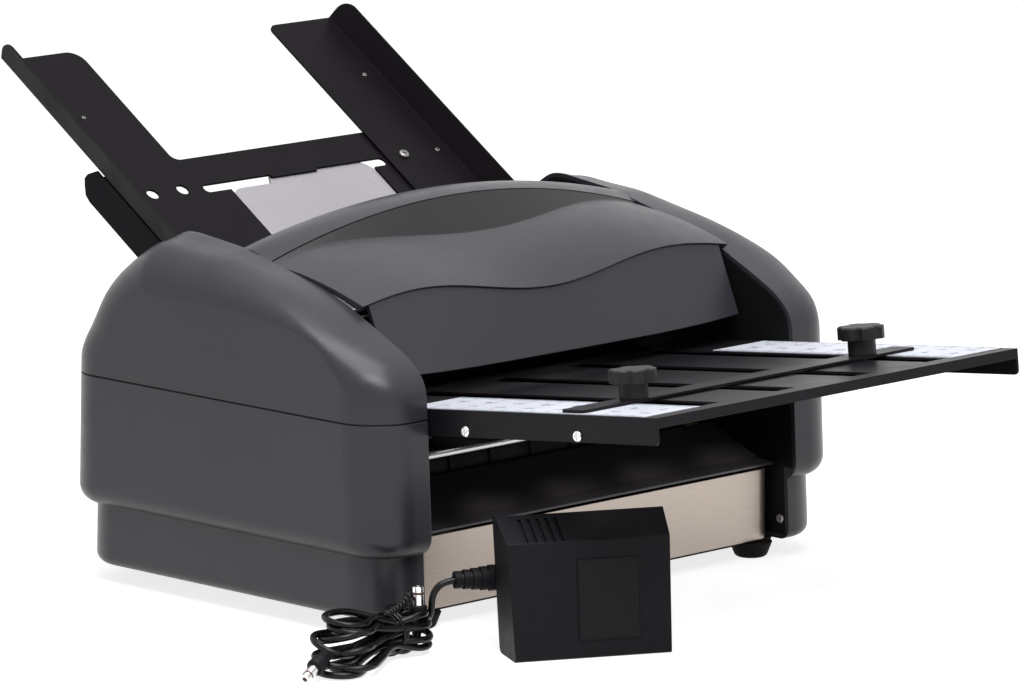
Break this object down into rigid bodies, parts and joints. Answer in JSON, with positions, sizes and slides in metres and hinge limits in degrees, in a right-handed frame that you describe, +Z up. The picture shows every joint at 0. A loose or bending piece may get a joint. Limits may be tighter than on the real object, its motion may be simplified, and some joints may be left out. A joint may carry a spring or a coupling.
{
  "type": "paper folding machine",
  "caption": "Desk paper folder: rounded cheeks and waved hood, sloping feed tray, slotted front fold table with clamped stop, rollers inside, unplugged adapter.",
  "frame": {"origin": "on the table top under the middle of the machine's box, without the adapter and its cord", "axes": "+Z up, +X to the machine's right seen from behind the front table, -Y towards the front"},
  "size_m": [0.4252, 0.4899, 0.267],
  "materials": {
    "casing": "fine textured charcoal plastic",
    "casing_metal": "charcoal powder coat",
    "black_metal": "satin black paint",
    "steel": "ground steel",
    "screw": "bright plated",
    "rubber": "matt black rubber",
    "brushed": "horizontal brushed grain",
    "gloss_black": "glossy black",
    "black_plastic": "fine grained black plastic",
    "board": "green circuit board",
    "tyre": "ribbed rubber",
    "roller_rubber": "ground rubber",
    "bush": "sintered bronze",
    "belt": "toothed belt rubber",
    "pad": "friction rubber",
    "pale_plastic": "pale grey",
    "ruler": "white strip with blue scale",
    "knob": "black moulded grip",
    "label": "blank dark label",
    "cord": "black cord sheath"
  },
  "bodies": {
    "chassis": {"upper_casing": "casing", "left_lower_casing": "casing", "right_lower_casing": "casing", "front_hood": "casing", "left_side_frame": "black_metal", "right_side_frame": "black_metal", "cross_rods": "steel", "small_screws": "screw", "base_pan": "black_metal", "rubber_feet": "rubber", "front_plate": "brushed", "exit_chute": "gloss_black", "upper_exit_guide": "black_metal", "rear_cover": "casing", "power_jack": "black_plastic", "switch_frame": "black_plastic", "circuit_board": "board", "shaft_bushes": "bush", "motor_case": "steel", "drive_belt": "belt", "feed_belt": "belt", "pad_bridge": "black_metal", "pad_spring": "steel", "feed_tray": "casing_metal", "tray_brackets": "casing_metal", "support_plate": "pale_plastic", "table_rails": "black_metal"},
    "roller_3": {"roller_3_shaft": "steel", "roller_3_sleeve": "roller_rubber"},
    "roller_1": {"roller_1_shaft": "steel", "roller_1_sleeve": "roller_rubber"},
    "roller_2": {"roller_2_shaft": "steel", "roller_2_sleeve": "roller_rubber"},
    "roller_4": {"roller_4_shaft": "steel", "roller_4_sleeve": "roller_rubber"},
    "feed_roller": {"feed_shaft": "steel", "feed_tyres": "tyre"},
    "motor_rotor": {"motor_pulley": "steel"},
    "separator": {"pad_arm": "steel", "separator_pads": "pad"},
    "side_guide": {"right_guide": "casing_metal", "guide_fasteners": "screw"},
    "fold_table_1": {"table_1_top": "casing_metal", "table_1_bottom": "casing_metal", "table_1_screws": "screw", "rulers": "ruler"},
    "stop_1": {"stop_1_bar": "casing_metal", "stop_1_nuts": "black_metal"},
    "knob_left": {"stop_1_knob_left": "knob"},
    "knob_right": {"stop_1_knob_right": "knob"},
    "fold_table_2": {"table_2": "casing_metal"},
    "stop_2": {"stop_2_slider": "casing_metal"},
    "switch_rocker": {"power_rocker": "black_plastic"},
    "adapter": {"adapter_case": "black_plastic", "adapter_label": "label", "adapter_prongs": "steel", "strain_relief": "black_plastic", "adapter_cord": "cord", "cord_hank": "cord", "cord_plugs": "black_plastic"}
  },
  "joints": [
    {"name": "roller_3_spin", "type": "hinge", "parent": "chassis", "child": "roller_3", "pos_m": [0, -0.011, 0.092], "axis": [1, 0, 0], "continuous": true},
    {"name": "roller_1_spin", "type": "hinge", "parent": "chassis", "child": "roller_1", "pos_m": [0, 0.014, 0.117], "axis": [1, 0, 0], "continuous": true},
    {"name": "roller_2_spin", "type": "hinge", "parent": "chassis", "child": "roller_2", "pos_m": [0, 0.014, 0.092], "axis": [1, 0, 0], "continuous": true},
    {"name": "roller_4_spin", "type": "hinge", "parent": "chassis", "child": "roller_4", "pos_m": [0, -0.011, 0.067], "axis": [1, 0, 0], "continuous": true},
    {"name": "feed_spin", "type": "hinge", "parent": "chassis", "child": "feed_roller", "pos_m": [0, 0.03842, 0.13871], "axis": [1, 0, 0], "continuous": true},
    {"name": "motor_spin", "type": "hinge", "parent": "chassis", "child": "motor_rotor", "pos_m": [0, 0.1, 0.043], "axis": [1, 0, 0], "continuous": true},
    {"name": "separator_swing", "type": "hinge", "parent": "chassis", "child": "separator", "pos_m": [0, 0.07028, 0.13067], "axis": [1, 0, 0], "range_deg": [0, 5], "stiffness_Nm_per_rad": 0.3, "springref_deg": -5.73, "deforming": ["pad_spring"]},
    {"name": "side_guide_slide", "type": "slide", "parent": "chassis", "child": "side_guide", "axis": [-1, 0, 0], "range_m": [0, 0.008]},
    {"name": "fold_table_1_slide", "type": "slide", "parent": "chassis", "child": "fold_table_1", "axis": [0, -0.9946, 0.1038], "range_m": [0, 0.12]},
    {"name": "stop_1_slide", "type": "slide", "parent": "fold_table_1", "child": "stop_1", "axis": [0, 0.9946, -0.1038], "range_m": [-0.04, 0.095]},
    {"name": "knob_left_turn", "type": "hinge", "parent": "stop_1", "child": "knob_left", "pos_m": [-0.084, -0.18193, 0.12537], "axis": [0, 0.1038, 0.9946], "range_deg": [0, 270]},
    {"name": "knob_right_turn", "type": "hinge", "parent": "stop_1", "child": "knob_right", "pos_m": [0.0815, -0.18193, 0.12537], "axis": [0, 0.1038, 0.9946], "range_deg": [0, 270]},
    {"name": "fold_table_2_slide", "type": "slide", "parent": "chassis", "child": "fold_table_2", "axis": [0, 1, 0], "range_m": [0, 0.12]},
    {"name": "stop_2_slide", "type": "slide", "parent": "fold_table_2", "child": "stop_2", "axis": [0, 1, 0], "range_m": [-0.045, 0.035]},
    {"name": "switch_rock", "type": "hinge", "parent": "chassis", "child": "switch_rocker", "pos_m": [-0.066, 0.1435, 0.036], "axis": [0, 0, 1], "range_deg": [-10, 0]},
    {"name": "adapter_slide", "type": "slide", "parent": "chassis", "child": "adapter", "axis": [0, -1, 0], "range_m": [0, 0.06]}
  ],
  "couplings": [
    {"joint": "roller_1_spin", "follows": "roller_3_spin", "ratio": 1},
    {"joint": "roller_2_spin", "follows": "roller_3_spin", "ratio": -1},
    {"joint": "roller_4_spin", "follows": "roller_3_spin", "ratio": -1},
    {"joint": "feed_spin", "follows": "roller_3_spin", "ratio": 1},
    {"joint": "motor_spin", "follows": "roller_3_spin", "ratio": 2.2857}
  ]
}
